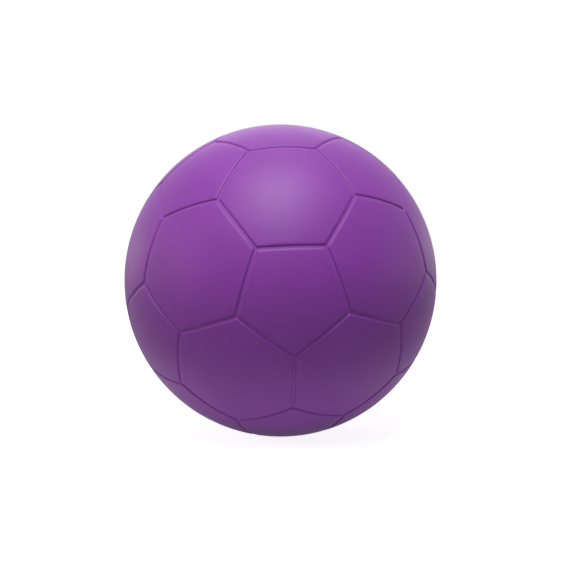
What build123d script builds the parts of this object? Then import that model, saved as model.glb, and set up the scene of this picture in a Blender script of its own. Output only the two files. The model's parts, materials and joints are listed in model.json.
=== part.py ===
from build123d import *
from math import atan, cos, degrees, pi, radians, sin, tan
import os

# A dodgeball: an air bladder wound with thread and covered by a ribbed rubber carcass, with a cover
# panel bonded into every pocket between the ribs, and a needle valve on the +Y axis. Millimetres.

# Ball
BALL_DIAMETER = 216.0  # over the crowns of the cover panels
PATTERN_CLOCK = 34.2  # a corner of the front pentagon, from +Z towards +X, in degrees

# Cover panels, and the channels between them
PANEL_THICKNESS = 2.0
SHOULDER_RADIUS = 1.2  # round the outer rim of each panel
CORNER_EASE = 0.3  # how much rounder a panel's corners are in plan than its rim is in section
CHANNEL_DEPTH = 1.1  # from a crown down to the top of the rib beside it
RIB_WIDTH = 1.9  # the flat floor of a channel
RIB_GAP = 0.12  # between a rib and the panel beside it

# Layers under the panels, from the outside in
BOND_LINE = 0.15  # cement between two layers
CARCASS_THICKNESS = 0.8  # under the panels, without the ribs
WINDING_THICKNESS = 0.35
BLADDER_THICKNESS = 0.6

# Valve core: a headed plug that slides in the seat, with a pilot bore for the needle
CORE_LENGTH = 15.5
CORE_RADIUS = 2.6
CORE_TIP_ROUNDING = 1.2
CORE_HEAD_LEDGE = 0.7  # how far the head stands out past the shank
CORE_HEAD_THICKNESS = 1.4
CORE_HEAD_GAP = 0.1  # under the head
CORE_CLEARANCE = 0.05  # on the radius, round the shank and the head
NEEDLE_BORE_RADIUS = 1.05
NEEDLE_BORE_DEPTH = 6.0
NEEDLE_LEAD_IN = 0.7

# Valve seat: a neck through the layers, a flange inside the bladder and a stem below it
MOUTH_RECESS = 0.8  # from the crowns down to the mouth of the valve
SEAT_LENGTH = 17.0
NECK_WALL = 1.15  # round the core's head
STEM_WALL = 2.55  # round the core's shank
STEM_ROUNDING = 0.8
FLANGE_RADIUS = 16.0
FLANGE_ROOT_THICKNESS = 2.2
FLANGE_RIM_THICKNESS = 0.7
PANEL_HOLE_ROUNDING = 0.5  # round the hole in the valve panel

# Radii of the layers
CROWN = BALL_DIAMETER / 2
RIB_TOP = CROWN - CHANNEL_DEPTH
PANEL_INNER = CROWN - PANEL_THICKNESS
POCKET_FLOOR = PANEL_INNER - BOND_LINE
CARCASS_INNER = POCKET_FLOOR - CARCASS_THICKNESS
WINDING_OUTER = CARCASS_INNER - BOND_LINE
WINDING_INNER = WINDING_OUTER - WINDING_THICKNESS
BLADDER_OUTER = WINDING_INNER - BOND_LINE
BLADDER_INNER = BLADDER_OUTER - BLADDER_THICKNESS
FLANGE_TOP = BLADDER_INNER - BOND_LINE

# Radii of the valve
CORE_HEAD_RADIUS = CORE_RADIUS + CORE_HEAD_LEDGE
SEAT_BORE = CORE_RADIUS + CORE_CLEARANCE
SEAT_HEAD_BORE = CORE_HEAD_RADIUS + CORE_CLEARANCE
NECK_RADIUS = SEAT_HEAD_BORE + NECK_WALL
NECK_HOLE = NECK_RADIUS + BOND_LINE
STEM_RADIUS = SEAT_BORE + STEM_WALL

# Heights along the valve axis, from the centre of the ball
MOUTH = CROWN - MOUTH_RECESS
HEAD_UNDERSIDE = MOUTH - CORE_HEAD_THICKNESS
HEAD_SEAT = HEAD_UNDERSIDE - CORE_HEAD_GAP
CORE_TIP = MOUTH - CORE_LENGTH
SEAT_END = MOUTH - SEAT_LENGTH
STEM_TOP = FLANGE_TOP - FLANGE_ROOT_THICKNESS

# The pattern is an icosahedron with its corners cut off, in rings of five round the valve axis
RING_COUNT = 5
RING_POLAR_ANGLE = degrees(atan(2))
PENTAGON = 5
HEXAGON = 6
BLANK_MARGIN = 4.0  # how far a panel's blank reaches past its corners, in degrees
ROUNDING_SHARE = 0.8  # the most of a wall that a rounding takes up
VALVE_TURN = Rot(-90, 0, 0)  # stands a piece drawn on +Z on the valve axis +Y


def direction(polar: float, clock: float) -> Vector:
    """Unit vector at an angle from -Y, and at a clock angle from +Z towards +X, both in degrees."""
    reach = sin(radians(polar))
    return Vector(reach * sin(radians(clock)), -cos(radians(polar)), reach * cos(radians(clock)))


def pattern_places() -> tuple[list, list]:
    """Pentagons and hexagons, from front to back: each a centre and one corner, as directions."""
    step = 360 / RING_COUNT
    front = direction(0, 0)
    back = direction(180, 0)
    near = [direction(RING_POLAR_ANGLE, PATTERN_CLOCK + step * k) for k in range(RING_COUNT)]
    far = [direction(180 - RING_POLAR_ANGLE, PATTERN_CLOCK + step * (k + 0.5)) for k in range(RING_COUNT)]
    neighbours = [(front, near[0]), *((centre, front) for centre in near)]
    neighbours += [*((centre, back) for centre in far), (back, far[0])]
    rings = [(k, (k + 1) % RING_COUNT) for k in range(RING_COUNT)]
    triangles = [(front, near[k], near[after]) for k, after in rings]
    triangles += [(near[k], near[after], far[k]) for k, after in rings]
    triangles += [(far[k], far[after], near[after]) for k, after in rings]
    triangles += [(back, far[k], far[after]) for k, after in rings]
    pentagons = [(centre, centre * 2 + other) for centre, other in neighbours]
    hexagons = [((a + b + c).normalized(), a * 2 + b) for a, b, c in triangles]
    return pentagons, hexagons


def limited(rounding: float, wall: float) -> float:
    """A rounding's radius, held to what its wall has room for."""
    return min(rounding, ROUNDING_SHARE * wall)


def plate(sides: int, corner_angle: float, inset: float, inner: float, outer: float, rounding: float):
    """Curved plate between two spheres, with flat side faces set in from the pattern's lines.

    Its middle is on +Z and one corner is over +X. corner_angle is from the middle to a corner, in degrees.
    """
    reach = corner_angle + BLANK_MARGIN
    outer_arc = CenterArc((0, 0), outer, 90 - reach, 2 * reach)
    inner_arc = CenterArc((0, 0), inner, 90 - reach, 2 * reach)
    ends = [Line(outer_arc @ t, inner_arc @ t) for t in (0, 1)]
    sector = make_face([outer_arc, inner_arc, *ends])
    blank = Rot(90 - reach, 0, 0) * revolve(sector, axis=Axis.X, revolution_arc=2 * reach)
    edge_angle = atan(tan(radians(corner_angle)) * cos(pi / sides))
    for k in range(sides):
        turn = (2 * k + 1) * pi / sides
        outward = cos(edge_angle)
        inward = Vector(-outward * cos(turn), -outward * sin(turn), sin(edge_angle))
        blank = split(blank, Plane(inward * inset, z_dir=inward), keep=Keep.TOP)
    return fillet(blank.edges().filter_by(GeomType.LINE), rounding)


def make_panel(sides: int, corner_angle: float):
    """Cover panel on +Z, with its corners rounded in plan and its outer rim in section."""
    shoulder = limited(SHOULDER_RADIUS, PANEL_THICKNESS)
    panel = plate(sides, corner_angle, RIB_WIDTH / 2 + RIB_GAP, PANEL_INNER, CROWN, shoulder + CORNER_EASE)
    rim = panel.edges().filter_by(lambda edge: (edge @ 0.5).length > CROWN - PANEL_THICKNESS / 4)
    return fillet(rim, shoulder)


def make_pocket(sides: int, corner_angle: float):
    """The room that a panel takes up in the carcass, on +Z and open at the crown."""
    rounding = limited(SHOULDER_RADIUS, PANEL_THICKNESS) + CORNER_EASE + RIB_GAP
    return plate(sides, corner_angle, RIB_WIDTH / 2, POCKET_FLOOR, CROWN, rounding)


def make_valve_panel(panel):
    """A panel on +Z with a rounded hole for the valve's neck."""
    pierced = panel - Cylinder(NECK_HOLE, BALL_DIAMETER)
    circles = pierced.edges().filter_by(GeomType.CIRCLE).filter_by(lambda edge: edge.is_closed)
    return fillet(circles.sort_by(Axis.Z)[-1], limited(PANEL_HOLE_ROUNDING, PANEL_THICKNESS))


def make_layer(outer: float, inner: float):
    """Hollow sphere with its poles on the valve axis, pierced for the valve's neck."""
    hole = Cylinder(NECK_HOLE, BALL_DIAMETER, align=(Align.CENTER, Align.CENTER, Align.MIN))
    return VALVE_TURN * (Sphere(outer) - Sphere(inner) - hole)


def at(radius: float, height: float) -> tuple[float, float, float]:
    """A point in the outline of a piece that is turned about +Z."""
    return (radius, 0, height)


def on_flange(radius: float) -> tuple[float, float, float]:
    """A point on the flange's dished top, which lies along the inside of the bladder."""
    return at(radius, (FLANGE_TOP**2 - radius**2) ** 0.5)


def make_valve_seat():
    """Rubber seat: neck, dished flange and stem in one, bored for the core and open at its inner end."""
    root = on_flange(NECK_RADIUS)
    rim = on_flange(FLANGE_RADIUS)
    rim_below = at(FLANGE_RADIUS, rim[2] - FLANGE_RIM_THICKNESS)
    neck = Polyline(
        root,
        at(NECK_RADIUS, MOUTH),
        at(SEAT_HEAD_BORE, MOUTH),
        at(SEAT_HEAD_BORE, HEAD_SEAT),
        at(SEAT_BORE, HEAD_SEAT),
        at(SEAT_BORE, SEAT_END),
    )
    stem = FilletPolyline(
        at(SEAT_BORE, SEAT_END),
        at(STEM_RADIUS, SEAT_END),
        at(STEM_RADIUS, STEM_TOP),
        rim_below,
        radius=limited(STEM_ROUNDING, STEM_WALL),
    )
    edge = Line(rim_below, rim)
    dish = ThreePointArc(rim, on_flange((FLANGE_RADIUS + NECK_RADIUS) / 2), root)
    return revolve(make_face([neck, stem, edge, dish]), axis=Axis.Z)


def make_valve_core():
    """Self-sealing plug: head, shank with a rounded tip, and a blind pilot bore with a lead-in."""
    shank = FilletPolyline(
        at(0, CORE_TIP),
        at(CORE_RADIUS, CORE_TIP),
        at(CORE_RADIUS, HEAD_UNDERSIDE),
        radius=limited(CORE_TIP_ROUNDING, CORE_RADIUS),
    )
    head = Polyline(
        at(CORE_RADIUS, HEAD_UNDERSIDE),
        at(CORE_HEAD_RADIUS, HEAD_UNDERSIDE),
        at(CORE_HEAD_RADIUS, MOUTH),
        at(NEEDLE_BORE_RADIUS + NEEDLE_LEAD_IN, MOUTH),
        at(NEEDLE_BORE_RADIUS, MOUTH - NEEDLE_LEAD_IN),
        at(NEEDLE_BORE_RADIUS, MOUTH - NEEDLE_BORE_DEPTH),
        at(0, MOUTH - NEEDLE_BORE_DEPTH),
        at(0, CORE_TIP),
    )
    return revolve(make_face([shank, head]), axis=Axis.Z)


def placed(piece, centre: Vector, corner: Vector):
    """The piece turned from +Z to a centre of the pattern, with its +X side towards a corner."""
    return Plane((0, 0, 0), x_dir=corner, z_dir=centre).location * piece


def make_pieces() -> dict:
    """Every piece of the ball, by its name."""
    pentagons, hexagons = pattern_places()
    pentagon_angle = Vector.get_angle(*pentagons[0])
    hexagon_angle = Vector.get_angle(*hexagons[0])
    pentagon = make_panel(PENTAGON, pentagon_angle)
    hexagon = make_panel(HEXAGON, hexagon_angle)
    pentagon_pocket = make_pocket(PENTAGON, pentagon_angle)
    hexagon_pocket = make_pocket(HEXAGON, hexagon_angle)
    pockets = [placed(pentagon_pocket, *place) for place in pentagons]
    pockets += [placed(hexagon_pocket, *place) for place in hexagons]
    pieces = {
        "bladder": make_layer(BLADDER_OUTER, BLADDER_INNER),
        "winding": make_layer(WINDING_OUTER, WINDING_INNER),
        "carcass": make_layer(RIB_TOP, CARCASS_INNER) - pockets,
        "valve_seat": VALVE_TURN * make_valve_seat(),
        "valve_core": VALVE_TURN * make_valve_core(),
        "valve_panel": placed(make_valve_panel(pentagon), *pentagons[-1]),
    }
    for number, place in enumerate(pentagons[:-1], start=1):
        pieces[f"pentagon_panel_{number:02d}"] = placed(pentagon, *place)
    for number, place in enumerate(hexagons, start=1):
        pieces[f"hexagon_panel_{number:02d}"] = placed(hexagon, *place)
    return pieces


os.makedirs("parts", exist_ok=True)
for name, piece in make_pieces().items():
    export_step(piece, f"parts/{name}.step")
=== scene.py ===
import json
import logging
import math
from dataclasses import dataclass
from enum import Enum
from typing import Any, Sequence

import bpy
import numpy as np
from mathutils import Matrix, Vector


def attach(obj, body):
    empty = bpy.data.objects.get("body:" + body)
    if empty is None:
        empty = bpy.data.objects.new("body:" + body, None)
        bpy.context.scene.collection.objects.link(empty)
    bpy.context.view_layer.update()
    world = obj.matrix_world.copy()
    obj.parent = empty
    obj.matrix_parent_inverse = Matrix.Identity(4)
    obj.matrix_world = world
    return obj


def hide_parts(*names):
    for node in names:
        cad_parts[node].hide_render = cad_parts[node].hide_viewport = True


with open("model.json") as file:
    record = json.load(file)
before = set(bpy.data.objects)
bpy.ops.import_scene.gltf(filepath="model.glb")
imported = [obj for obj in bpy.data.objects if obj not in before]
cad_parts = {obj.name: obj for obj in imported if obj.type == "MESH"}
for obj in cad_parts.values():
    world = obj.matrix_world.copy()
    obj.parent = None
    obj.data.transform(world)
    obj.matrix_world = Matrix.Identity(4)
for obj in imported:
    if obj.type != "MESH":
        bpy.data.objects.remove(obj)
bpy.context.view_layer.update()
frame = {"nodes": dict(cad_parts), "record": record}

# A panelled dodgeball on a white studio floor. Lengths are in metres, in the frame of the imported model:
# the ball's centre is the origin, the front pentagon faces -Y and the valve looks along +Y.

LOG = logging.getLogger("dodgeball")
BALL_BODY = "ball"
CORE_BODY = "core"
VALVE_PANEL = "valve_panel"
MM = 0.001
FULL_TURN = 2 * math.pi
WHITE = (1.0, 1.0, 1.0, 1.0)

# Radius of the sphere round an icosahedron with its corners cut off, whose edges are all 1 long.
SOLID_RADIUS = math.sqrt(58 + 18 * math.sqrt(5)) / 4

# Radius of the hole that the valve's neck has through its panel and the carcass.
NECK_HOLE = 4.65 * MM

# Faces that meet at more than this angle keep a sharp edge.
SHARP_EDGE = math.radians(38)

# Points that round to the same multiples of this length are one point.
WELD = 1e-7

Rings = list[np.ndarray]
RingPlan = tuple[tuple[float, int], ...]
Skin = tuple[np.ndarray, np.ndarray]
Colour = tuple[float, float, float]
Span = tuple[float, float]
Socket = bpy.types.NodeSocket
Links = dict[str | int, Socket]


class PanelShape(Enum):
    """The two outlines in the cover's pattern. The value is the number of sides."""

    PENTAGON = 5
    HEXAGON = 6


class Ray(Enum):
    """Kinds of ray that the studio tells apart. The value is the Light Path node's name for the kind."""

    CAMERA = "Is Camera Ray"
    MIRRORED = "Is Glossy Ray"
    THROUGH = "Is Transmission Ray"


@dataclass(frozen=True)
class PanelPlace:
    """Where one panel lies in the pattern.

    Attributes:
        node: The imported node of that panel.
        shape: Its outline.
        axes: Three rows, its local X towards a corner, its local Y and its outward Z.
    """

    node: str
    shape: PanelShape
    axes: np.ndarray

    @property
    def piece(self) -> str:
        """Name of the dressed panel that stands for the node."""
        return self.node.replace("panel", "cover")

    @property
    def is_pierced(self) -> bool:
        """Whether the valve comes through this panel."""
        return self.node == VALVE_PANEL

    def out(self, local: np.ndarray) -> np.ndarray:
        """Turns points from the panel's own axes to the ball's."""
        return local @ self.axes


@dataclass(frozen=True)
class PanelPattern:
    """An icosahedron with its corners cut off, in rings of five round the valve axis.

    Attributes:
        clock: A corner of the front pentagon, from +Z towards +X, in degrees.
        fold: Panels in each ring.
    """

    clock: float = 34.2
    fold: int = 5

    def direction(self, polar: float, turn: float) -> np.ndarray:
        """Finds a unit vector from two angles.

        Args:
            polar: Angle from -Y, in radians.
            turn: Angle past the pattern's clock angle, in fifths of a turn.

        Returns:
            The vector: -Y swung by polar, towards +Z turned by the clock angle to +X.
        """
        clock = math.radians(self.clock) + turn * FULL_TURN / self.fold
        reach = math.sin(polar)
        return np.array([reach * math.sin(clock), -math.cos(polar), reach * math.cos(clock)])

    def place(self, node: str, shape: PanelShape, centre: np.ndarray, corner: np.ndarray) -> PanelPlace:
        """Makes a place from a centre and one corner.

        Args:
            node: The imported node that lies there.
            shape: The panel's outline.
            centre: Any vector towards the panel's middle.
            corner: Any vector towards one of its corners.

        Returns:
            The place, with its X axis square to the centre and over the corner.
        """
        out = centre / np.linalg.norm(centre)
        across = corner - out * (corner @ out)
        across /= np.linalg.norm(across)
        return PanelPlace(node, shape, np.stack([across, np.cross(out, across), out]))

    def places(self) -> list[PanelPlace]:
        """Lists all panels.

        Returns:
            The places: pentagons are the icosahedron's corners and hexagons the middles of its faces. The
            panels' own corners lie a third of the way along the icosahedron's edges.
        """
        # The corners next to a pole lie at the angle whose tangent is 2.
        ring = math.atan(2)
        front = self.direction(0, 0)
        back = self.direction(math.pi, 0)
        near = [self.direction(ring, k) for k in range(self.fold)]
        far = [self.direction(math.pi - ring, k + 0.5) for k in range(self.fold)]
        pairs = [(k, (k + 1) % self.fold) for k in range(self.fold)]
        corners = [(front, near[0]), *((c, front) for c in near), *((c, back) for c in far)]
        faces = [(front, near[a], near[b]) for a, b in pairs]
        faces += [(near[a], near[b], far[a]) for a, b in pairs]
        faces += [(far[a], far[b], near[b]) for a, b in pairs]
        faces += [(back, far[a], far[b]) for a, b in pairs]
        found = [
            self.place(f"pentagon_panel_{k:02d}", PanelShape.PENTAGON, c, 2 * c + other)
            for k, (c, other) in enumerate(corners, start=1)
        ]
        found.append(self.place(VALVE_PANEL, PanelShape.PENTAGON, back, 2 * back + far[0]))
        found += [
            self.place(f"hexagon_panel_{k:02d}", PanelShape.HEXAGON, a + b + c, 2 * a + b)
            for k, (a, b, c) in enumerate(faces, start=1)
        ]
        return found


@dataclass(frozen=True)
class PanelOutline:
    """A regular polygon of great-circle arcs on a sphere, seen from its middle.

    Attributes:
        shape: Which polygon.
        radius: The sphere's radius.
        edge_points: Points along each edge, closer together towards its ends.
        rounding: Radius of the rounded corners.
        crowding: How strongly the points bunch towards an edge's ends, from 0 for evenly to under a half.
    """

    shape: PanelShape
    radius: float
    edge_points: int
    rounding: float = 0.9 * MM
    crowding: float = 0.42

    @property
    def sides(self) -> int:
        """Number of edges."""
        return self.shape.value

    @property
    def middles(self) -> np.ndarray:
        """Angles round the polygon's middle at which its edges come nearest."""
        return (np.arange(self.sides) + 0.5) * FULL_TURN / self.sides

    @property
    def corner_angle(self) -> float:
        """Angle from the middle to a corner: the flat polygon's outer radius over the solid's."""
        return math.asin(0.5 / math.sin(math.pi / self.sides) / SOLID_RADIUS)

    @property
    def edge_angle(self) -> float:
        """Angle from the middle to the nearest point of an edge."""
        return math.atan(math.tan(self.corner_angle) * math.cos(math.pi / self.sides))

    @property
    def softness(self) -> float:
        """Scale at which the soft least value cuts off a 120 degree corner as the rounding's arc does."""
        return self.rounding * (1 - math.sin(math.pi / 3)) / math.log(2)

    def turns(self) -> np.ndarray:
        """Angles round the middle of points along the edges, which neighbouring panels share.

        Returns:
            The angles, from corner to corner: an arc's points bunch towards its ends as a cubic of an even
            step, and each point's angle is found from the right triangle with the edge's nearest point.
        """
        half_arc = math.acos(math.cos(self.corner_angle) / math.cos(self.edge_angle))
        step = np.arange(self.edge_points) / self.edge_points * 2 - 1
        arc = half_arc * ((1 + self.crowding) * step - self.crowding * step**3)
        from_middle = np.arctan(np.tan(arc) / math.sin(self.edge_angle))
        return (self.middles[:, None] + from_middle[None, :]).ravel()

    def distance(self, turn: np.ndarray, polar: np.ndarray) -> np.ndarray:
        """Distance inwards from the outline, rounded at the corners.

        Args:
            turn: Angles round the middle.
            polar: Angles from the middle, of a shape that fits turn's.

        Returns:
            A soft least value of the distances to the edges' planes: the log of a sum of exponentials.
        """
        lean = np.cos(turn[..., None] - self.middles)
        apart = math.sin(self.edge_angle) * np.cos(polar)[..., None]
        apart = self.radius * (apart - math.cos(self.edge_angle) * np.sin(polar)[..., None] * lean)
        nearest = apart.min(axis=-1)
        spread = np.exp(-(apart - nearest[..., None]) / self.softness).sum(axis=-1)
        return nearest - self.softness * np.log(spread)

    def contour(self, distance: float, halvings: int = 44, reach: float = 1.05) -> np.ndarray:
        """Finds the line on which the rounded distance has one value, by halving.

        Args:
            distance: The value.
            halvings: How often the searched stretch is halved.
            reach: End of the searched stretch, as a multiple of the corners' angle.

        Returns:
            Angles from the middle of the line's points, one at each of the outline's turns.
        """
        turn = self.turns()
        low = np.zeros_like(turn)
        high = np.full_like(turn, self.corner_angle * reach)
        for _ in range(halvings):
            middle = (low + high) / 2
            inside = self.distance(turn, middle) > distance
            low = np.where(inside, middle, low)
            high = np.where(inside, high, middle)
        return (low + high) / 2

    def edge(self) -> np.ndarray:
        """Angles from the middle to the sharp outline itself, one at each of its turns."""
        lean = np.cos(self.turns()[:, None] - self.middles).max(axis=1)
        return np.arctan(math.tan(self.edge_angle) / lean)


@dataclass(frozen=True)
class Channel:
    """The groove between two panels, as a section across it in four parts.

    From the middle line out these are a flat floor, a hollow round at the wall's foot, a tight round at the
    panel's lip and a large round that runs out into the crown. Each round takes the slope over from the last.

    Attributes:
        floor: Half the width of the flat floor.
        foot: Radius of the hollow round.
        lip: Radius of the tight round.
        crest: Radius of the large round.
        steep: Slope where the foot meets the lip, in radians.
        gentle: Slope where the lip meets the crest, in radians.
    """

    floor: float = 0.65 * MM
    foot: float = 0.36 * MM
    lip: float = 0.9 * MM
    crest: float = 4.8 * MM
    steep: float = math.radians(70)
    gentle: float = math.radians(15)

    @property
    def foot_end(self) -> float:
        """Distance at which the foot meets the lip."""
        return self.floor + self.foot * math.sin(self.steep)

    @property
    def lip_end(self) -> float:
        """Distance at which the lip meets the crest."""
        return self.foot_end + self.lip * (math.sin(self.steep) - math.sin(self.gentle))

    @property
    def shoulder(self) -> float:
        """Distance at which the panel's crown begins."""
        return self.lip_end + self.crest * math.sin(self.gentle)

    @property
    def lip_middle(self) -> float:
        """Depth of the middle of the lip's round, on the line from the crest's middle to where they meet."""
        return self.crest - (self.crest - self.lip) * math.cos(self.gentle)

    @property
    def depth(self) -> float:
        """Depth of the floor: the lip's lowest point and then the foot's fall."""
        steep = math.cos(self.steep)
        return self.lip_middle - self.lip * steep + self.foot * (1 - steep)

    def drop(self, distance: np.ndarray | float) -> np.ndarray:
        """Depth below the crowns at a distance from the middle line.

        Args:
            distance: Distances from the middle line.

        Returns:
            The floor's depth, a hollow circle over the foot, and a circle each over the lip and the crest.
        """
        reach = np.clip(distance - self.floor, 0, self.foot)
        over_lip = self.shoulder - (self.crest - self.lip) * math.sin(self.gentle) - distance
        left = np.clip(self.shoulder - distance, 0, self.crest)
        low = self.depth - self.foot + np.sqrt(self.foot**2 - reach**2)
        middle = self.lip_middle - np.sqrt(np.clip(self.lip**2 - over_lip**2, 0, None))
        high = self.crest - np.sqrt(self.crest**2 - left**2)
        return np.where(distance < self.foot_end, low, np.where(distance < self.lip_end, middle, high))

    def wall_distances(self, end: float, steps: int = 9, gap: float = 0.01 * MM) -> np.ndarray:
        """Distances of a panel's rings, from the crown's edge down to its side wall.

        Args:
            end: Distance of the side wall.
            steps: Rings over the crest, and as many over the whole lip.
            gap: Least step from the ring before to the wall's.

        Returns:
            The distances, even in slope over the crest and over the lip.
        """
        crest = self.shoulder - self.crest * np.sin(np.linspace(0, self.gentle, steps))
        lean = np.sin(np.linspace(self.gentle, self.steep, steps)[1:])
        lip = self.lip_end - self.lip * (lean - math.sin(self.gentle))
        return np.concatenate([crest, lip[lip > end + gap], [end]])

    def foot_distances(self, start: float, steps: int = 7) -> np.ndarray:
        """Distances of a rib's rings, even in slope from its wall down the foot to the flat floor."""
        lean = np.linspace(math.asin(min((start - self.floor) / self.foot, 1)), 0, steps)
        return self.floor + self.foot * np.sin(lean)

    def rings(self, outline: PanelOutline, distances: Sequence[float]) -> Rings:
        """Lines of even distance from the pattern's lines, each as deep as the section is there."""
        turn = outline.turns()
        return [on_sphere(outline.radius - self.drop(d), outline.contour(d), turn) for d in distances]


def on_sphere(radius: np.ndarray | float, polar: np.ndarray, turn: np.ndarray) -> np.ndarray:
    """Points at a radius, an angle from +Z and a turn about it."""
    flat = radius * np.sin(polar)
    return np.stack([flat * np.cos(turn), flat * np.sin(turn), radius * np.cos(polar)], axis=-1)


def disc_rings(radius: float, outline: PanelOutline, rim: np.ndarray, hole: float, plan: RingPlan) -> Rings:
    """Rings of a patch on a sphere, from its middle or a hole out to its rim.

    Args:
        radius: The sphere's radius.
        outline: The outline whose turns the rim's points have.
        rim: Angles from the middle to the rim.
        hole: Radius of the hole, or 0 for none.
        plan: A pair for each ring: its share of the way to the rim, and 1 to keep all the rim's points, 2 for
            every second and so on. A share of 0 is the hole's own edge, and is left out without a hole.

    Returns:
        The rings: copies of the rim shrunk evenly towards the hole, or towards a pole, which comes first.
    """
    turn = outline.turns()
    start = math.asin(hole / radius)
    rings = [] if hole else [on_sphere(radius, np.zeros(1), np.zeros(1))]
    for share, step in plan:
        if share or hole:
            rings.append(on_sphere(radius, start + share * (rim[::step] - start), turn[::step]))
    return rings


def bridge(start: int, count: int, other: int, other_count: int) -> np.ndarray:
    """Faces between two rings of points, as rows of four corners; a triangle repeats its last corner.

    Args:
        start: Index of the first ring's first point.
        count: Points in the first ring: as many as in the other, twice or half as many, or one for a pole.
        other: Index of the other ring's first point.
        other_count: Points in the other ring.

    Returns:
        The rows, wound so that the faces look out where the rings run outwards and anticlockwise.
    """
    if count > other_count:
        # The same triangles as from the other side, turned over.
        return bridge(other, other_count, start, count)[:, [1, 0, 2, 3]]
    a = start + np.arange(count)
    b = other + np.arange(other_count)
    if count == other_count:
        return np.stack([a, b, np.roll(b, -1), np.roll(a, -1)], axis=1)
    if count == 1:
        return np.stack([np.full_like(b, start), b, np.roll(b, -1), np.roll(b, -1)], axis=1)
    even, odd = b[::2], b[1::2]
    a_next, even_next = np.roll(a, -1), np.roll(even, -1)
    rows = [(a, even, odd, odd), (a, odd, a_next, a_next), (a_next, odd, even_next, even_next)]
    return np.concatenate([np.stack(row, axis=1) for row in rows])


def stitch(rings: Rings, closed: bool = False) -> Skin:
    """Joins rings of points into one skin.

    Args:
        rings: Arrays of points, each one ring; a ring of one point is a pole.
        closed: Whether the last ring joins the first again.

    Returns:
        The points, and the faces as rows of four corners.
    """
    counts = [len(ring) for ring in rings]
    starts = np.concatenate([[0], np.cumsum(counts)[:-1]])
    pairs = list(zip(range(len(rings) - 1), range(1, len(rings))))
    if closed:
        pairs.append((len(rings) - 1, 0))
    faces = [bridge(starts[a], counts[a], starts[b], counts[b]) for a, b in pairs]
    return np.concatenate(rings), np.concatenate(faces)


def weld(points: np.ndarray, faces: np.ndarray) -> Skin:
    """Merges points that lie on each other.

    Args:
        points: The points, some of them doubled.
        faces: Rows of corners.

    Returns:
        The points that are left, and the faces with their new corners.
    """
    grid = np.round(points / WELD).astype(np.int64)
    _, first, new_index = np.unique(grid, axis=0, return_index=True, return_inverse=True)
    return points[first], new_index.ravel()[faces]


def skin_object(name: str, points: np.ndarray, faces: np.ndarray) -> bpy.types.Object:
    """Makes a smooth mesh object at the origin from points and faces.

    Args:
        name: The piece's name.
        points: Its points, in the ball's frame.
        faces: Rows of four corners; a triangle repeats its last corner.

    Returns:
        The object, linked to the scene, with creases kept sharp.
    """
    mesh = bpy.data.meshes.new(name)
    is_triangle = faces[:, 2] == faces[:, 3]
    polygons = [*faces[~is_triangle].tolist(), *faces[is_triangle, :3].tolist()]
    mesh.from_pydata(points.tolist(), [], polygons)
    mesh.polygons.foreach_set("use_smooth", np.ones(len(polygons), bool))
    mesh.set_sharp_from_angle(angle=SHARP_EDGE)
    mesh.update()
    piece = bpy.data.objects.new(name, mesh)
    bpy.context.scene.collection.objects.link(piece)
    return piece


def rounded_profile(corners: Sequence[tuple[float, float, float]], steps: int = 6) -> np.ndarray:
    """Rounds the corners of a section that is turned about an axis.

    Args:
        corners: Rows of radius, height and rounding.
        steps: Points in each rounding.

    Returns:
        Rows of radius and height: each rounded corner is a curve through its two tangent points, a quadratic
        that starts and ends along the corner's sides.
    """
    table = np.array(corners, float)
    spots = table[:, :2]
    before = np.roll(spots, 1, axis=0) - spots
    after = np.roll(spots, -1, axis=0) - spots
    t = np.linspace(0, 1, steps)[:, None]
    rows = []
    for spot, back, on, size in zip(spots, before, after, table[:, 2]):
        if size == 0:
            rows.append(spot[None])
            continue
        enter = spot + back / np.linalg.norm(back) * size
        leave = spot + on / np.linalg.norm(on) * size
        rows.append((1 - t) ** 2 * enter + 2 * t * (1 - t) * spot + t**2 * leave)
    return np.concatenate(rows)


def turned(profile: np.ndarray, count: int) -> Rings:
    """Turns a section about the valve axis +Y.

    Args:
        profile: Rows of radius and height.
        count: Points in each ring.

    Returns:
        A circle of points for each row, or a pole where the radius is 0.
    """
    turn = np.arange(count) * FULL_TURN / count
    rings = []
    for radius, height in profile:
        used = turn if radius > WELD else turn[:1]
        flat = [radius * np.sin(used), np.full_like(used, height), radius * np.cos(used)]
        rings.append(np.stack(flat, axis=1))
    return rings


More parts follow.
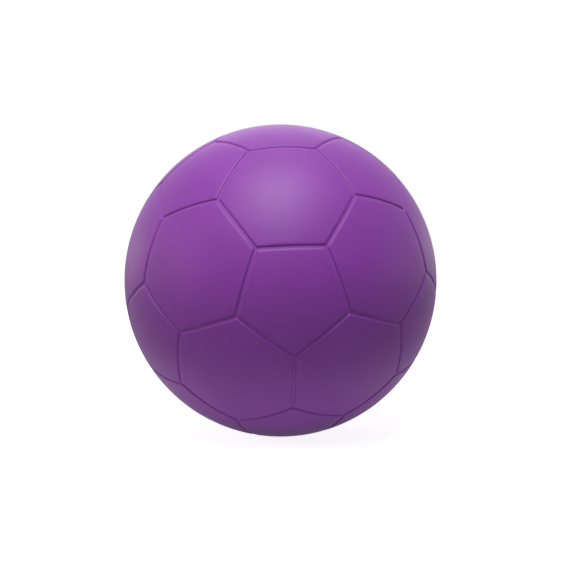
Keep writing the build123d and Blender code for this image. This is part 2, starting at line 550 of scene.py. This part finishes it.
class NodeGraph:
    """A node tree while it is put together."""

    def __init__(self, tree: bpy.types.NodeTree, output: str) -> None:
        """Empties a tree and gives it its output node.

        Args:
            tree: The tree.
            output: The output node's type without its ShaderNode prefix.
        """
        self.tree = tree
        self.tree.nodes.clear()
        self.output = self.node(output)

    def node(self, kind: str, links: Links | None = None, **values: object) -> bpy.types.Node:
        """Adds a node.

        Args:
            kind: The node's type without its ShaderNode prefix.
            links: Sockets to link into the node's inputs, by input name or number.
            values: Settings of the node, or values of its inputs with spaces written as underscores.

        Returns:
            The node.
        """
        made = self.tree.nodes.new("ShaderNode" + kind)
        for name, value in values.items():
            if hasattr(made, name):
                setattr(made, name, value)
            else:
                made.inputs[name.replace("_", " ")].default_value = value
        for name, socket in (links or {}).items():
            self.tree.links.new(socket, made.inputs[name])
        return made

    def calculate(self, operation: str, *terms: Socket | float) -> Socket:
        """Joins terms by one operation of the Math node.

        Args:
            operation: The operation.
            terms: Sockets to link or numbers to set, in order.

        Returns:
            The result.
        """
        made = self.node("Math", operation=operation)
        for term, field in zip(terms, made.inputs):
            if isinstance(term, Socket):
                self.tree.links.new(term, field)
            else:
                field.default_value = term
        return made.outputs[0]

    def rays(self, *kinds: Ray) -> Socket:
        """Tells rays of some kinds from all others.

        Args:
            kinds: The kinds.

        Returns:
            1 for these rays and 0 for others: the greatest of the kinds' own values.
        """
        path = self.node("LightPath")
        found = path.outputs[kinds[0].value]
        for kind in kinds[1:]:
            found = self.calculate("MAXIMUM", found, path.outputs[kind.value])
        return found

    def show(self, surface: bpy.types.Node) -> None:
        """Links a surface to the output."""
        self.tree.links.new(surface.outputs[0], self.output.inputs["Surface"])


class Shader(NodeGraph):
    """A material's node tree while it is put together."""

    def __init__(self, name: str) -> None:
        """Starts an empty material with its output node.

        Args:
            name: The material's name.
        """
        self.material = bpy.data.materials.new(name)
        self.material.use_nodes = True
        super().__init__(self.material.node_tree, "OutputMaterial")

    def place(self) -> Socket:
        """The point on the piece, in the ball's frame."""
        return self.node("TexCoord").outputs["Object"]

    def noise(self, size: float, detail: float = 2.0) -> Socket:
        """Cloudy values whose blotches are about one size across."""
        return self.node("TexNoise", {"Vector": self.place()}, Scale=1 / size, Detail=detail).outputs["Fac"]

    def spread(self, value: Socket, into: Span, of: Span = (0.0, 1.0)) -> Socket:
        """Maps a value of one range into another, and holds it there."""
        ends = {"From_Min": of[0], "From_Max": of[1], "To_Min": into[0], "To_Max": into[1]}
        return self.node("MapRange", {"Value": value}, **ends).outputs["Result"]

    def mix(self, share: Socket, first: Colour, second: Colour) -> Socket:
        """Mixes two colours by a share."""
        return self.node("MixRGB", {"Fac": share}, Color1=(*first, 1), Color2=(*second, 1)).outputs["Color"]

    def bump(self, height: Socket, depth: float) -> Socket:
        """Raises the surface by a height from 0 to 1 times a depth."""
        return self.node("Bump", {"Height": height}, Strength=1.0, Distance=depth).outputs["Normal"]

    def finish(self, surface: bpy.types.Node) -> bpy.types.Material:
        """Shows the surface and gives the finished material."""
        self.show(surface)
        return self.material


@dataclass(frozen=True)
class CoverRubber:
    """Satin moulded rubber with a fine grain and faint clouds.

    Attributes:
        name: The material's name.
        colour: Its mean colour.
        variation: Share by which its clouds and grain darken and lighten it.
        roughness: Mean roughness.
        roughness_swing: By how much the grain raises and lowers it.
        gloss: Specular level.
        cloud_size: Size of the clouds.
        cloud_share: Share of the way from dark to light, in the darkest and the lightest clouds.
        grain_size: Size of the grain.
        grain_share: What the grain takes from that share or adds to it.
        grain_depth: Depth of the grain.
        noise_range: Range that the noise mostly keeps to.
    """

    name: str
    colour: Colour = (0.240, 0.040, 0.345)
    variation: float = 0.16
    roughness: float = 0.5
    roughness_swing: float = 0.05
    gloss: float = 0.37
    cloud_size: float = 26 * MM
    cloud_share: Span = (0.35, 0.65)
    grain_size: float = 0.5 * MM
    grain_share: Span = (-0.5, 0.5)
    grain_depth: float = 0.03 * MM
    noise_range: Span = (0.3, 0.7)

    def shade(self, share: float) -> Colour:
        """The mean colour made lighter by a share, or darker by a negative one."""
        red, green, blue = (part * (1 + share) for part in self.colour)
        return red, green, blue

    def material(self) -> bpy.types.Material:
        """Builds the node material.

        Returns:
            The material: clouds and grain add up to a share between a dark and a light shade.
        """
        shader = Shader(self.name)
        clouds = shader.spread(shader.noise(self.cloud_size, detail=4), self.cloud_share, self.noise_range)
        grain = shader.noise(self.grain_size)
        share = shader.calculate("ADD", clouds, shader.spread(grain, self.grain_share, self.noise_range))
        smooth, rough = self.roughness - self.roughness_swing, self.roughness + self.roughness_swing
        links = {
            "Base Color": shader.mix(share, self.shade(-self.variation), self.shade(self.variation)),
            "Roughness": shader.spread(grain, (smooth, rough), self.noise_range),
            "Normal": shader.bump(grain, self.grain_depth),
        }
        return shader.finish(shader.node("BsdfPrincipled", links, Specular_IOR_Level=self.gloss))


@dataclass(frozen=True)
class PlainRubber:
    """Dull black rubber of the bladder and the valve.

    Attributes:
        name: The material's name.
        colour: Its colour.
        bloom: Colour of the pale bloom that clouds it.
        bloom_range: Values of the clouds between which the bloom comes in.
        cloud_size: Size of the clouds.
        roughness: Mean roughness.
        roughness_swing: By how much the clouds raise and lower it.
        grain_size: Size of the grain.
        grain_depth: Depth of the grain.
    """

    name: str
    colour: Colour
    bloom: Colour
    bloom_range: Span = (0.4, 0.8)
    cloud_size: float = 3 * MM
    roughness: float = 0.55
    roughness_swing: float = 0.08
    grain_size: float = 0.3 * MM
    grain_depth: float = 0.008 * MM

    def material(self) -> bpy.types.Material:
        """Builds the node material.

        Returns:
            The material: clouds of bloom over the colour, and a fine grain.
        """
        shader = Shader(self.name)
        clouds = shader.noise(self.cloud_size, detail=3)
        share = shader.spread(clouds, (0.0, 1.0), self.bloom_range)
        smooth, rough = self.roughness - self.roughness_swing, self.roughness + self.roughness_swing
        links = {
            "Base Color": shader.mix(share, self.colour, self.bloom),
            "Roughness": shader.spread(clouds, (smooth, rough)),
            "Normal": shader.bump(shader.noise(self.grain_size), self.grain_depth),
        }
        return shader.finish(shader.node("BsdfPrincipled", links))


@dataclass(frozen=True)
class WoundThread:
    """Nylon thread wound round and round in crossing bands.

    Attributes:
        name: The material's name.
        thread: Colour on top of the thread.
        shade: Colour between the threads, the thread's colour darkened as painted shade in the hollows.
        pitch: From one thread to the next.
        wave: Length of one wave of the wave texture at a scale of 1.
        wander: How far the threads stray from straight lines, as the texture's distortion.
        relief: Height of the thread.
        roughness: Between the threads, and on top of them.
    """

    name: str
    thread: Colour = (0.76, 0.73, 0.64)
    shade: Colour = (0.30, 0.27, 0.21)
    pitch: float = 0.9 * MM
    wave: float = 0.314
    wander: float = 0.6
    relief: float = 0.15 * MM
    roughness: Span = (0.8, 0.55)

    def material(self) -> bpy.types.Material:
        """Builds the node material.

        Returns:
            The material: two sets of waves that cross, with the higher one on top.
        """
        shader = Shader(self.name)
        scale = self.wave / self.pitch
        waves = []
        for axis in ("DIAGONAL", "Z"):
            place = {"Vector": shader.place()}
            wave = shader.node("TexWave", place, bands_direction=axis, Scale=scale, Distortion=self.wander)
            waves.append(wave.outputs["Fac"])
        top = shader.calculate("MAXIMUM", *waves)
        links = {
            # The darker colour between the threads is painted shade in the hollows between them.
            "Base Color": shader.mix(top, self.shade, self.thread),
            "Roughness": shader.spread(top, self.roughness),
            "Normal": shader.bump(top, self.relief),
        }
        return shader.finish(shader.node("BsdfPrincipled", links))


@dataclass(frozen=True)
class Cover:
    """The panels bonded to the ball.

    Attributes:
        crown: Radius of the ball over the panels.
        thickness: Thickness of a panel.
        wall: From the pattern's lines to a panel's side wall.
        channel: Section of the channels between the panels.
        neck_hole: Radius of the valve panel's hole.
        hole_rounding: Rounding of that hole's rim.
        hole_steps: Rings over that rounding.
        hole_stride: The hole's rings have one point for so many of the outline's.
        edge_points: Points along each edge.
        crown_margin: From the shoulder to the crown's outermost line of even distance.
        crown_plan: Rings over the crown.
        under_plan: Rings on the underside.
        rubber: The panels' finish.
    """

    crown: float
    thickness: float = 2.0 * MM
    wall: float = 1.0 * MM
    channel: Channel = Channel()
    neck_hole: float = NECK_HOLE
    hole_rounding: float = 0.5 * MM
    hole_steps: int = 7
    hole_stride: int = 8
    edge_points: int = 40
    crown_margin: float = 0.35 * MM
    crown_plan: RingPlan = (
        (0.12, 8), (0.24, 8), (0.36, 4), (0.48, 4), (0.6, 2), (0.72, 2), (0.82, 1), (0.91, 1)
    )
    under_plan: RingPlan = ((0.2, 8), (0.4, 8), (0.6, 4), (0.8, 2), (0.97, 1))
    rubber: CoverRubber = CoverRubber("cover_rubber")

    @property
    def base(self) -> float:
        """Radius of the panels' underside."""
        return self.crown - self.thickness

    def crown_rings(self, outline: PanelOutline, hole: float) -> Rings:
        """Rings over the crown, from the middle or a hole's rim out to the shoulder."""
        shoulder = outline.contour(self.channel.shoulder + self.crown_margin)
        return disc_rings(self.crown, outline, shoulder, hole, self.crown_plan)

    def rim_and_wall(self, outline: PanelOutline) -> Rings:
        """Rings over the shoulder and down the side wall.

        Args:
            outline: The panel's outline.

        Returns:
            The rings: lines of even distance from the pattern's lines, the last one at the wall's foot.
        """
        distances = [self.channel.shoulder + self.crown_margin, *self.channel.wall_distances(self.wall)]
        foot = on_sphere(self.base, outline.contour(self.wall), outline.turns())
        return [*self.channel.rings(outline, distances), foot]

    def underside_rings(self, outline: PanelOutline, hole: float) -> Rings:
        """Rings under the panel, from the wall in to the middle or to a hole."""
        return disc_rings(self.base, outline, outline.contour(self.wall), hole, self.under_plan)[::-1]

    def hole_rings(self, outline: PanelOutline) -> Rings:
        """Rings down the valve hole.

        Args:
            outline: The panel's outline.

        Returns:
            The rings: circles over a quarter round at the rim, and one at the foot of the straight wall.
        """
        turn = outline.turns()[:: self.hole_stride]
        top = math.sqrt(self.crown**2 - (self.neck_hole + self.hole_rounding) ** 2)
        bottom = math.sqrt(self.base**2 - self.neck_hole**2)
        lean = np.linspace(0, math.pi / 2, self.hole_steps)
        radii = [*(self.neck_hole + self.hole_rounding * (1 - np.sin(lean))), self.neck_hole]
        heights = [*(top - self.hole_rounding * (1 - np.cos(lean))), bottom]
        return [
            np.stack([r * np.cos(turn), r * np.sin(turn), np.full_like(turn, h)], axis=1)
            for r, h in zip(radii, heights)
        ]

    def build(self, place: PanelPlace) -> bpy.types.Object:
        """Builds one panel.

        Args:
            place: Where it lies.

        Returns:
            The panel as a closed skin: crown, shoulder, wall and underside, and the valve hole if it has one.
        """
        outline = PanelOutline(place.shape, self.crown, self.edge_points)
        rim_hole = self.neck_hole + self.hole_rounding if place.is_pierced else 0.0
        base_hole = self.neck_hole if place.is_pierced else 0.0
        rings = self.crown_rings(outline, rim_hole) + self.rim_and_wall(outline)
        rings += self.underside_rings(outline, base_hole)
        if place.is_pierced:
            rings = self.hole_rings(outline)[::-1] + rings
        points, faces = stitch([place.out(ring) for ring in rings], closed=place.is_pierced)
        return skin_object(place.piece, points, faces)

    def dress(self, panel: bpy.types.Object, place: PanelPlace, material: bpy.types.Material) -> None:
        """Gives a panel its rubber, puts it on the ball's body and hides the node that it stands for.

        Args:
            panel: The panel.
            place: Where it lies.
            material: The rubber, which all panels share.
        """
        panel.data.materials.append(material)
        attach(panel, BALL_BODY)
        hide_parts(place.node)


@dataclass(frozen=True)
class Carcass:
    """The ribbed rubber shell under the panels, whose ribs are the floors of the channels.

    Attributes:
        crown: Radius of the ball over the panels.
        pocket_depth: Depth of the pockets under the panels, below the crown.
        inside_depth: Depth of its inside, below the crown.
        rib_wall: From the pattern's lines to a rib's side wall.
        channel: Section of the channels.
        floor_lines: Distances of the rings on a channel's flat floor.
        neck_hole: Radius of the hole for the valve's neck.
        edge_points: Points along each edge.
        pocket_plan: Rings over a pocket.
        inside_plan: Rings on the inside.
        rubber: Its finish, lighter and pinker than the panels': partly the ribs' own colour and partly
        painted light that lifts the channel floors out of their shade.
    """

    crown: float
    pocket_depth: float = 2.15 * MM
    inside_depth: float = 2.95 * MM
    rib_wall: float = 0.97 * MM
    channel: Channel = Channel()
    floor_lines: tuple[float, ...] = (0.3 * MM, 0.12 * MM)
    neck_hole: float = NECK_HOLE
    edge_points: int = 24
    pocket_plan: RingPlan = ((0.0, 8), (0.25, 8), (0.5, 4), (0.75, 2), (0.93, 1), (1.0, 1))
    inside_plan: RingPlan = ((0.0, 8), (0.2, 8), (0.4, 8), (0.6, 4), (0.8, 2), (1.0, 1))
    # The ribs' lighter, pinker purple is partly their own colour and partly painted light that lifts the
    # channel floors out of their shade.
    rubber: CoverRubber = CoverRubber("carcass_rubber_with_painted_light", colour=(0.264, 0.048, 0.360))

    def pocket_rings(self, outline: PanelOutline, hole: float) -> Rings:
        """Rings of one pocket, from its middle or a hole out to the foot of the ribs."""
        foot = outline.contour(self.rib_wall)
        return disc_rings(self.crown - self.pocket_depth, outline, foot, hole, self.pocket_plan)

    def rib_rings(self, outline: PanelOutline) -> Rings:
        """Rings up a rib's wall and over its top to the pattern's line, which the next pocket shares.

        Args:
            outline: The outline of the panel within the rib.

        Returns:
            The rings: lines of even distance from the pattern's lines, and then these lines themselves.
        """
        distances = [*self.channel.foot_distances(self.rib_wall), *self.floor_lines]
        line = on_sphere(self.crown - self.channel.depth, outline.edge(), outline.turns())
        return [*self.channel.rings(outline, distances), line]

    def inside_rings(self, outline: PanelOutline, hole: float) -> Rings:
        """Rings on the inside of the shell, from the pattern's line in to the middle or to a hole."""
        inner = self.crown - self.inside_depth
        return disc_rings(inner, outline, outline.edge(), hole, self.inside_plan)[::-1]

    def build(self, places: Sequence[PanelPlace]) -> bpy.types.Object:
        """Builds the carcass.

        Args:
            places: All the panels' places.

        Returns:
            One closed skin, welded from a pocket with its half ribs and a patch of the inside for each panel.
        """
        points: list[np.ndarray] = []
        faces: list[np.ndarray] = []
        used = 0
        for place in places:
            outline = PanelOutline(place.shape, self.crown, self.edge_points)
            hole = self.neck_hole if place.is_pierced else 0.0
            outside = self.pocket_rings(outline, hole) + self.rib_rings(outline)
            inside = self.inside_rings(outline, hole)
            for rings in [inside + outside] if hole else [outside, inside]:
                patch_points, patch_faces = stitch([place.out(ring) for ring in rings])
                points.append(patch_points)
                faces.append(patch_faces + used)
                used += len(patch_points)
        return skin_object("carcass_shell", *weld(np.concatenate(points), np.concatenate(faces)))

    def dress(self, shell: bpy.types.Object, material: bpy.types.Material) -> None:
        """Gives the carcass its rubber, puts it on the ball's body and hides the node that it stands for.

        Args:
            shell: The carcass.
            material: Its rubber.
        """
        shell.data.materials.append(material)
        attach(shell, BALL_BODY)
        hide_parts("carcass")


@dataclass(frozen=True)
class SeatRounds:
    """Roundings of the valve seat's section.

    Attributes:
        mouth: Inner rim of the mouth.
        bore: Upper rim of the core's bore.
        bore_end: Lower rim of the core's bore.
        stem: Outer rim of the stem's end, and the hollow between stem and flange.
        flange: Lower edge of the flange's rim.
        neck: Outer rim of the mouth.
    """

    mouth: float = 0.2 * MM
    bore: float = 0.1 * MM
    bore_end: float = 0.3 * MM
    stem: float = 0.8 * MM
    flange: float = 0.2 * MM
    neck: float = 0.35 * MM


@dataclass(frozen=True)
class CoreRounds:
    """Roundings of the valve core's section.

    Attributes:
        pilot: Bottom of the pilot bore.
        lead_end: Lower edge of the lead-in.
        lead_rim: Upper edge of the lead-in.
        head: Upper rim of the head.
        under_head: Lower rim of the head.
        tip: Rim of the shank's end.
    """

    pilot: float = 0.2 * MM
    lead_end: float = 0.15 * MM
    lead_rim: float = 0.2 * MM
    head: float = 0.25 * MM
    under_head: float = 0.1 * MM
    tip: float = 1.2 * MM


@dataclass(frozen=True)
class Valve:
    """The valve: a seat moulded with a flange, and the core that plugs it.

    Attributes:
        crown: Radius of the ball over the panels.
        needle: Radius of the core's pilot bore.
        mouth_depth: Depth of the valve's mouth, below the crown.
        seat_length: From the mouth to the end of the seat's stem.
        core_length: From the mouth to the core's tip.
        core_radius: Radius of the core's shank.
        head_radius: Radius of the core's head.
        head_thickness: Thickness of that head.
        clearance: Gap between the core and the seat all round.
        head_gap: Gap under the core's head.
        neck_radius: Radius of the seat's neck, which passes through carcass and panel.
        stem_radius: Radius of the seat's stem, below the flange.
        flange_radius: Radius of the flange.
        flange_depth: Depth of the sphere on which the flange's top lies, below the crown.
        flange_root: Thickness of the flange at the stem.
        flange_rim: Thickness of the flange at its rim.
        flange_steps: Rings over the flange's top.
        needle_depth: Depth of the pilot bore, below the mouth.
        needle_point: Depth of the hollow at that bore's end.
        lead_in: Width and depth of the bore's lead-in.
        seat_rounds: Roundings of the seat.
        core_rounds: Roundings of the core.
        points_round: Points in each ring.
        seat_rubber: The seat's finish.
        core_rubber: The core's finish.
    """

    crown: float
    needle: float
    mouth_depth: float = 0.8 * MM
    seat_length: float = 17.0 * MM
    core_length: float = 15.5 * MM
    core_radius: float = 2.6 * MM
    head_radius: float = 3.3 * MM
    head_thickness: float = 1.4 * MM
    clearance: float = 0.05 * MM
    head_gap: float = 0.1 * MM
    neck_radius: float = 4.5 * MM
    stem_radius: float = 5.2 * MM
    flange_radius: float = 16.0 * MM
    flange_depth: float = 4.35 * MM
    flange_root: float = 2.2 * MM
    flange_rim: float = 0.7 * MM
    flange_steps: int = 7
    needle_depth: float = 6.0 * MM
    needle_point: float = 0.3 * MM
    lead_in: float = 0.7 * MM
    seat_rounds: SeatRounds = SeatRounds()
    core_rounds: CoreRounds = CoreRounds()
    points_round: int = 96
    seat_rubber: PlainRubber = PlainRubber("seat_rubber", (0.03, 0.03, 0.035), bloom=(0.06, 0.06, 0.065))
    core_rubber: PlainRubber = PlainRubber("core_rubber", (0.05, 0.05, 0.055), bloom=(0.09, 0.09, 0.09))

    @property
    def mouth(self) -> float:
        """Height of the valve's mouth from the ball's centre."""
        return self.crown - self.mouth_depth

    def build_seat(self) -> bpy.types.Object:
        """Builds the seat.

        Returns:
            The seat: a section of neck, dished flange and stem, turned about the valve axis.
        """
        rounds = self.seat_rounds
        bore = self.core_radius + self.clearance
        head_bore = self.head_radius + self.clearance
        head_seat = self.mouth - self.head_thickness - self.head_gap
        end = self.mouth - self.seat_length
        flange_top = self.crown - self.flange_depth
        spread = np.linspace(self.flange_radius, self.neck_radius, self.flange_steps)
        dish = np.sqrt(flange_top**2 - spread**2)
        corners = [
            (head_bore, self.mouth, rounds.mouth),
            (head_bore, head_seat, 0),
            (bore, head_seat, rounds.bore),
            (bore, end, rounds.bore_end),
            (self.stem_radius, end, rounds.stem),
            (self.stem_radius, flange_top - self.flange_root, rounds.stem),
            (self.flange_radius, dish[0] - self.flange_rim, rounds.flange),
            *((radius, height, 0) for radius, height in zip(spread, dish)),
            (self.neck_radius, self.mouth, rounds.neck),
        ]
        rings = turned(rounded_profile(corners), self.points_round)
        return skin_object("seat_moulding", *stitch(rings, closed=True))

    def build_core(self) -> bpy.types.Object:
        """Builds the core.

        Returns:
            The core: a section of pilot bore, lead-in, head and shank, turned about the valve axis.
        """
        rounds = self.core_rounds
        tip = self.mouth - self.core_length
        under_head = self.mouth - self.head_thickness
        floor = self.mouth - self.needle_depth
        corners = [
            (0, floor - self.needle_point, 0),
            (self.needle, floor, rounds.pilot),
            (self.needle, self.mouth - self.lead_in, rounds.lead_end),
            (self.needle + self.lead_in, self.mouth, rounds.lead_rim),
            (self.head_radius, self.mouth, rounds.head),
            (self.head_radius, under_head, rounds.under_head),
            (self.core_radius, under_head, 0),
            (self.core_radius, tip, rounds.tip),
            (0, tip, 0),
        ]
        rings = turned(rounded_profile(corners), self.points_round)
        return skin_object("core_plug", *stitch(rings))

    def dress(self, piece: bpy.types.Object, body: str, node: str, material: bpy.types.Material) -> None:
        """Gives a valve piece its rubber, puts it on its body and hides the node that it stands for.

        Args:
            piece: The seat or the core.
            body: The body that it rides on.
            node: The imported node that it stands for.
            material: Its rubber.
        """
        piece.data.materials.append(material)
        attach(piece, body)
        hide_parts(node)


@dataclass(frozen=True)
class AirChamber:
    """The bladder and the thread wound round it, inside the carcass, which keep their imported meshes.

    Attributes:
        bladder: The bladder's finish.
        winding: The winding's finish.
    """

    bladder: PlainRubber = PlainRubber("bladder_rubber", (0.015, 0.015, 0.017), bloom=(0.05, 0.05, 0.05))
    winding: WoundThread = WoundThread("wound_thread")

    def dress(self) -> list[bpy.types.Object]:
        """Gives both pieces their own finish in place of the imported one.

        Returns:
            The pieces.
        """
        pieces = [frame["nodes"]["bladder"], frame["nodes"]["winding"]]
        for piece, finish in zip(pieces, (self.bladder, self.winding)):
            piece.data.materials.clear()
            piece.data.materials.append(finish.material())
        return pieces


def facing_ball(
    data: bpy.types.Light | bpy.types.Camera, azimuth: float, elevation: float, distance: float
) -> bpy.types.Object:
    """Places a lamp or a camera round the ball.

    Args:
        data: The lamp's or camera's data, whose name the object takes.
        azimuth: Round the ball from -Y in front to +X at its right, in degrees.
        elevation: Above the horizon, in degrees.
        distance: From the ball's centre.

    Returns:
        The object, turned to the ball's centre and linked to the scene.
    """
    a, e = math.radians(azimuth), math.radians(elevation)
    toward = Vector((math.sin(a) * math.cos(e), -math.cos(a) * math.cos(e), math.sin(e)))
    made = bpy.data.objects.new(data.name, data)
    made.location = toward * distance
    made.rotation_mode = "QUATERNION"
    made.rotation_quaternion = (-toward).to_track_quat("-Z", "Y")
    bpy.context.scene.collection.objects.link(made)
    return made


@dataclass(frozen=True)
class SoftBox:
    """A square studio lamp that faces the ball.

    Attributes:
        name: Its name.
        azimuth: Round the ball, 0 in front and 90 at its right, in degrees.
        elevation: Above the horizon, in degrees.
        size: Side of its square.
        power: In watts.
        colour: Tint of its light.
        distance: From the ball's centre.
    """

    name: str
    azimuth: float
    elevation: float
    size: float
    power: float
    colour: Colour = (1.0, 1.0, 1.0)
    distance: float = 1.3

    def build(self) -> None:
        """Makes the lamp and turns it to the ball."""
        lamp = bpy.data.lights.new(self.name, "AREA")
        lamp.shape = "SQUARE"
        lamp.size = self.size
        lamp.energy = self.power
        lamp.color = self.colour
        facing_ball(lamp, self.azimuth, self.elevation, self.distance)


@dataclass(frozen=True)
class Studio:
    """White floor and surroundings, soft lamps, and the camera.

    Attributes:
        radius: The ball's radius, which the camera's distance and the floor's height follow.
        azimuth: The camera's azimuth, in degrees.
        elevation: The camera's elevation, in degrees.
        distance: The camera's distance from the ball's centre, in radii of the ball.
        frame_pixels: Width of the picture, in pixels.
        limb_pixels: Radius of the ball's outline in the picture, in pixels.
        sensor: Width of the camera's sensor, in millimetres.
        floor_size: Side of the square floor.
        light_pool_paint: The floor's paint close to the ball, paler than further out: a painted pool of
        light that bounces onto the ball's underside.
        paint_far: Its paint further out.
        light_pool_fade: Distances from the ball's centre between which the paint changes.
        glow_near: Strength of the floor's own light close to the ball, where the camera sees it.
        glow_far: Strength of that light further out.
        glow_fade: Distances from the ball's centre between which that strength changes.
        glow_mirrored: Strength of the floor's own light where it is mirrored.
        lamps: The lamps.
    """

    radius: float
    azimuth: float = -4.17
    elevation: float = 5.38
    distance: float = 7.954
    frame_pixels: int = 561
    limb_pixels: float = 156.14
    sensor: float = 36.0
    floor_size: float = 8.0
    # Paler paint close to the ball: a painted pool of light that bounces onto the ball's underside.
    light_pool_paint: Colour = (0.95, 0.95, 0.95)
    paint_far: Colour = (0.36, 0.36, 0.36)
    light_pool_fade: Span = (0.125, 0.22)
    glow_near: float = 0.88
    glow_far: float = 1.0
    glow_fade: Span = (0.25, 0.8)
    glow_mirrored: float = 0.4
    lamps: tuple[SoftBox, ...] = (
        SoftBox("front_box", azimuth=-22.0, elevation=61.0, size=0.55, power=6.4, colour=(1.0, 0.98, 0.95)),
        SoftBox("fill_box", azimuth=-8.0, elevation=46.0, size=0.4, power=2.4, colour=(0.84, 0.93, 1.0)),
        SoftBox("top_box", azimuth=-20.0, elevation=75.0, size=0.5, power=2.8, colour=(1.0, 0.98, 0.95)),
        SoftBox("right_box", azimuth=10.0, elevation=70.0, size=0.6, power=7.2, colour=(0.9, 0.95, 1.0)),
        SoftBox("left_box", azimuth=-80.0, elevation=14.0, size=0.6, power=2.7, colour=(1.0, 0.87, 0.85)),
        SoftBox("low_box", azimuth=88.0, elevation=8.0, size=0.4, power=0.9, colour=(1.0, 0.93, 0.95)),
        SoftBox("left_rim", azimuth=-132.0, elevation=4.0, size=0.3, power=0.8, colour=(1.0, 0.88, 0.84)),
        SoftBox("right_rim", azimuth=132.0, elevation=4.0, size=0.3, power=0.6, colour=(1.0, 0.9, 0.9)),
        SoftBox("back_box", azimuth=178.0, elevation=33.0, size=0.8, power=2.2),
    )

    def build_camera(self) -> None:
        """Makes the camera, with a lens that gives the ball's outline its radius in pixels."""
        # From d radii away, the tangent of the outline's angle is 1 over the root of d squared less 1.
        focal_pixels = self.limb_pixels * math.sqrt(self.distance**2 - 1)
        lens = bpy.data.cameras.new("camera")
        lens.sensor_fit = "HORIZONTAL"
        lens.sensor_width = self.sensor
        lens.lens = self.sensor * focal_pixels / self.frame_pixels
        distance = self.distance * self.radius
        bpy.context.scene.camera = facing_ball(lens, self.azimuth, self.elevation, distance)

    def build_floor(self) -> None:
        """Makes the floor, a square that touches the ball at its lowest point."""
        half = self.floor_size / 2
        corners = [(-half, -half), (half, -half), (half, half), (-half, half)]
        mesh = bpy.data.meshes.new("floor")
        mesh.from_pydata([(x, y, -self.radius) for x, y in corners], [], [(0, 1, 2, 3)])
        floor = bpy.data.objects.new("floor", mesh)
        bpy.context.scene.collection.objects.link(floor)
        floor.data.materials.append(self.floor_material())

    def floor_material(self) -> bpy.types.Material:
        """Builds the floor's node material.

        Returns:
            Matte paint that returns the lamps' light and keeps the shadow, paler close to the ball as a
            painted pool of light that bounces onto the ball's underside. Where the floor is seen, seen
            through or mirrored, it also has a white light of its own.
        """
        shader = Shader("studio_floor")
        away = shader.node("VectorMath", {0: shader.place()}, operation="LENGTH").outputs["Value"]
        # The paler paint close to the ball is a painted pool of light whose bounce lights the ball's
        # underside.
        paint = shader.mix(shader.spread(away, (0.0, 1.0), self.light_pool_fade), self.light_pool_paint, self.paint_far)
        matte = shader.node("BsdfDiffuse", {"Color": paint})
        seen = shader.rays(Ray.CAMERA, Ray.THROUGH)
        glow_there = shader.spread(away, (self.glow_near, self.glow_far), self.glow_fade)
        mirrored = shader.calculate("MULTIPLY", shader.rays(Ray.MIRRORED), self.glow_mirrored)
        strength = shader.calculate("MULTIPLY_ADD", seen, glow_there, mirrored)
        glow = shader.node("Emission", {"Strength": strength}, Color=WHITE)
        return shader.finish(shader.node("AddShader", {0: matte.outputs[0], 1: glow.outputs[0]}))

    def build_world(self) -> None:
        """Makes the surroundings: white where they are seen, mirrored or seen through, and dark otherwise."""
        world = bpy.data.worlds.new("studio")
        world.use_nodes = True
        graph = NodeGraph(world.node_tree, "OutputWorld")
        seen = graph.rays(Ray.CAMERA, Ray.MIRRORED, Ray.THROUGH)
        graph.show(graph.node("Background", {"Strength": seen}, Color=WHITE))
        bpy.context.scene.world = world

    def build(self) -> None:
        """Sets up the whole studio and the plain view transform."""
        self.build_camera()
        self.build_floor()
        self.build_world()
        for lamp in self.lamps:
            lamp.build()
        bpy.context.scene.view_settings.view_transform = "Standard"


def mount(name: str) -> dict[str, Any]:
    """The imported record's mount of that name."""
    return next(entry for entry in frame["record"]["mounts"] if entry["name"] == name)


def report(piece: bpy.types.Object) -> None:
    """Logs a finished piece and its number of faces."""
    LOG.info("%s: %d faces", piece.name, len(piece.data.polygons))


def main() -> None:
    """Builds the ball's pieces in order, then the studio."""
    logging.basicConfig(level=logging.INFO, format="%(name)s: %(message)s")
    crown = abs(mount("rest_spot")["pos_m"][2])
    places = PanelPattern().places()

    cover = Cover(crown)
    cover_rubber = cover.rubber.material()
    for place in places:
        panel = cover.build(place)
        cover.dress(panel, place, cover_rubber)
        report(panel)

    carcass = Carcass(crown)
    shell = carcass.build(places)
    carcass.dress(shell, carcass.rubber.material())
    report(shell)

    valve = Valve(crown, mount("needle_bore")["dims"]["r_mm"] * MM)
    seat = valve.build_seat()
    valve.dress(seat, BALL_BODY, "valve_seat", valve.seat_rubber.material())
    report(seat)
    core = valve.build_core()
    valve.dress(core, CORE_BODY, "valve_core", valve.core_rubber.material())
    report(core)

    for piece in AirChamber().dress():
        report(piece)

    Studio(crown).build()


if __name__ == "__main__":
    main()
